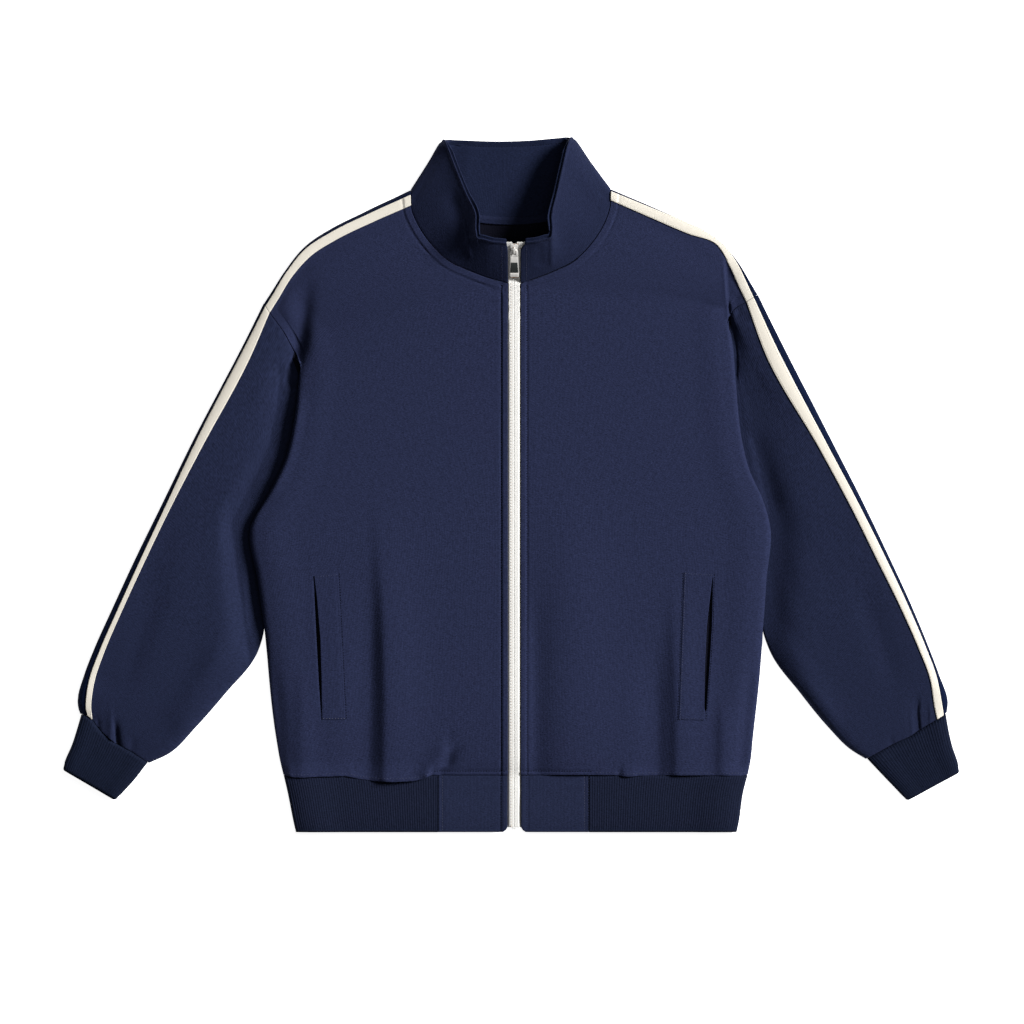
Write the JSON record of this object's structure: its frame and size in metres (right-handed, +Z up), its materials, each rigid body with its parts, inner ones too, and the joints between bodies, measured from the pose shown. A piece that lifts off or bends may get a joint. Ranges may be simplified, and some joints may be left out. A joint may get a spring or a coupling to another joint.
{
  "type": "track jacket",
  "caption": "Zipped track jacket laid flat on its back, with a half-open stand collar, welt pockets, rib hem and cuffs, and a pale stripe down each shoulder and sleeve.",
  "frame": {"origin": "on the surface it lies on, at the middle of its width and length", "axes": "+X to the viewer's right across the front, which is the wearer's left; +Y from hem to collar; +Z up from the surface, out of the front"},
  "size_m": [1.0302, 0.7996, 0.049],
  "materials": {
    "body_knit": "matt dark navy double-faced knit",
    "sleeve_knit": "matt dark navy double-faced knit",
    "cuff_rib": "matt dark navy rib knit",
    "hem_rib_knit": "matt dark navy rib knit",
    "tab_knit": "matt dark navy double-faced knit",
    "collar_knit": "matt dark navy double-faced knit",
    "collar_lining_knit": "matt dark navy knit",
    "pocket_knit": "matt dark navy knit",
    "welt_knit": "matt dark navy double-faced knit",
    "stripe_tape": "matt cream woven tape",
    "zip_tape": "matt off-white woven zip tape",
    "slider_metal": "polished silver zinc casting",
    "pull_metal": "polished silver zinc casting"
  },
  "bodies": {
    "jacket": {"back": "body_knit", "front_left": "body_knit", "front_right": "body_knit", "sleeve_left": "sleeve_knit", "sleeve_right": "sleeve_knit", "cuff_left": "cuff_rib", "cuff_right": "cuff_rib", "hem_rib": "hem_rib_knit", "hem_tab_left": "tab_knit", "hem_tab_right": "tab_knit", "collar_outer": "collar_knit", "collar_inner": "collar_lining_knit", "pocket_bag_left": "pocket_knit", "pocket_bag_right": "pocket_knit", "welt_left": "welt_knit", "welt_right": "welt_knit", "stripe_shoulder_left": "stripe_tape", "stripe_shoulder_right": "stripe_tape", "stripe_sleeve_left": "stripe_tape", "stripe_sleeve_right": "stripe_tape", "zip_tape_left": "zip_tape", "zip_tape_right": "zip_tape", "zip_slider": "slider_metal"},
    "zip_pull": {"zip_pull": "pull_metal"}
  },
  "joints": [
    {"name": "pull_swing", "type": "hinge", "parent": "jacket", "child": "zip_pull", "pos_m": [0.0034, 0.26779, 0.04055], "axis": [-1, 0, 0], "range_deg": [0, 175]}
  ]
}
